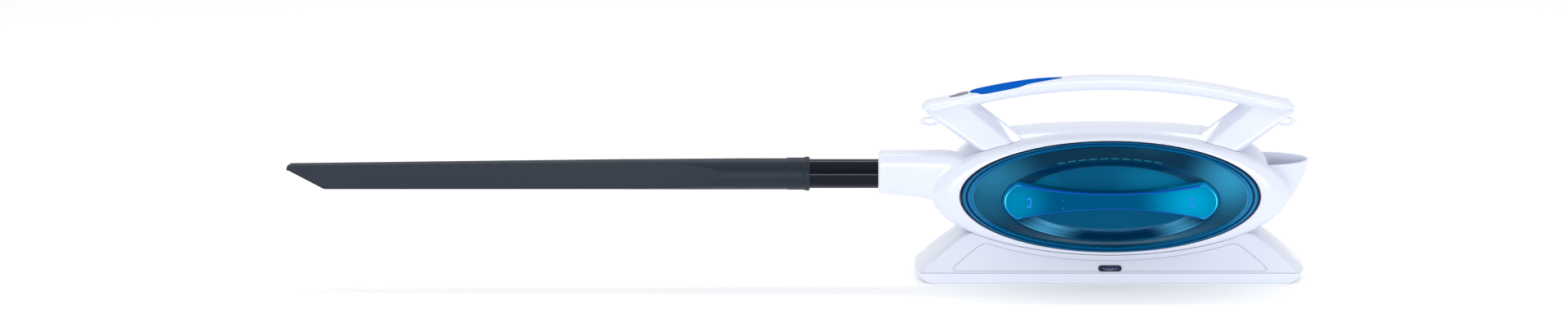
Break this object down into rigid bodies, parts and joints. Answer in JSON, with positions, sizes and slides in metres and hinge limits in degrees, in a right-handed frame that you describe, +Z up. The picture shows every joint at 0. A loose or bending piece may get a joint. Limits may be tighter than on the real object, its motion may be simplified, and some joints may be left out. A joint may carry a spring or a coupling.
{
  "type": "handheld vacuum cleaner",
  "caption": "Oval handheld vacuum cleaner with a see-through dust cover, arched handle, long crevice tool and side exhaust, standing in its dock.",
  "frame": {"origin": "middle of the dock's underside, under the body's motor axis", "axes": "+Z up, -Y out of the dust cover, -X along the suction tube and crevice tool"},
  "size_m": [1.2155, 0.165, 0.241],
  "materials": {
    "white_casing": "gloss moulded white",
    "grey_casing": "satin moulded grey",
    "blue_inlay": "gloss blue",
    "teal_cover": "polished see-through teal",
    "slate_nozzle": "fine spark-eroded matt",
    "black_tube": "gloss black",
    "dark_lens": "gloss dark blue",
    "rubber": "matt",
    "filter_paper": "pleated paper",
    "dark_plastic": "matt moulded",
    "steel": "zinc plated",
    "aluminium": "pressed",
    "rotor_metal": "laminated core with windings",
    "board": "solder mask",
    "cell_wrap": "shrink wrap over a can"
  },
  "bodies": {
    "dock": {"dock_shell": "white_casing", "dock_front_panel": "white_casing", "dock_tray": "white_casing", "dock_pad_1": "rubber", "dock_pad_2": "rubber", "dock_pad_3": "rubber", "dock_pad_4": "rubber", "dock_screw_1": "steel", "dock_screw_2": "steel", "dock_screw_3": "steel", "dock_screw_4": "steel", "charge_board": "board", "charge_contact_1": "steel", "charge_contact_2": "steel", "charge_jack": "dark_plastic"},
    "dock_push": {"dock_button": "dark_lens"},
    "housing": {"front_casing": "white_casing", "inlet_seal": "rubber", "rear_casing": "white_casing", "casing_screw_1": "steel", "casing_screw_2": "steel", "casing_screw_3": "steel", "casing_screw_4": "steel", "filter_cage": "dark_plastic", "pleated_filter": "filter_paper", "fan_inlet_cover": "dark_plastic", "fan_rear_plate": "dark_plastic", "motor_can": "steel", "motor_end_bell": "dark_plastic", "bearing_front": "steel", "bearing_rear": "steel", "motor_mount_ring": "rubber", "battery_cell_1": "cell_wrap", "battery_cell_2": "cell_wrap", "battery_cell_3": "cell_wrap", "battery_cell_4": "cell_wrap", "battery_cell_5": "cell_wrap", "battery_cell_6": "cell_wrap", "battery_tray": "dark_plastic", "control_board": "board", "exhaust_spout": "white_casing", "exhaust_grille": "grey_casing", "handle_front_shell": "white_casing", "handle_rear_shell": "white_casing", "handle_inlay": "blue_inlay", "switch_block": "dark_plastic", "strap_eye_left": "white_casing", "strap_eye_right": "white_casing"},
    "switch": {"power_slider": "grey_casing"},
    "cover": {"dust_cover": "teal_cover", "cover_grip": "teal_cover", "cover_gasket": "rubber"},
    "rotor": {"impeller": "aluminium", "motor_rotor": "rotor_metal"},
    "tube": {"suction_tube": "black_tube"},
    "nozzle": {"crevice_nozzle": "slate_nozzle", "nozzle_collar": "slate_nozzle"}
  },
  "joints": [
    {"name": "body_lift", "type": "slide", "parent": "dock", "child": "housing", "axis": [0, 0, 1], "range_m": [0, 0.08]},
    {"name": "dock_button_press", "type": "slide", "parent": "dock", "child": "dock_push", "axis": [0, 1, 0], "range_m": [0, 0.0025], "stiffness_N_per_m": 400, "springref_m": -0.002},
    {"name": "power_switch", "type": "slide", "parent": "housing", "child": "switch", "axis": [-0.9702, 0, -0.2423], "range_m": [0, 0.006]},
    {"name": "cover_pull", "type": "slide", "parent": "housing", "child": "cover", "axis": [0, -1, 0], "range_m": [0, 0.05]},
    {"name": "rotor_spin", "type": "hinge", "parent": "housing", "child": "rotor", "pos_m": [0, 0.02, 0.1043], "axis": [0, 1, 0], "continuous": true},
    {"name": "tube_turn", "type": "hinge", "parent": "housing", "child": "tube", "pos_m": [-0.3, -0.03, 0.1256], "axis": [1, 0, 0], "continuous": true},
    {"name": "nozzle_pull", "type": "slide", "parent": "tube", "child": "nozzle", "axis": [-1, 0, 0], "range_m": [0, 0.048]}
  ]
}
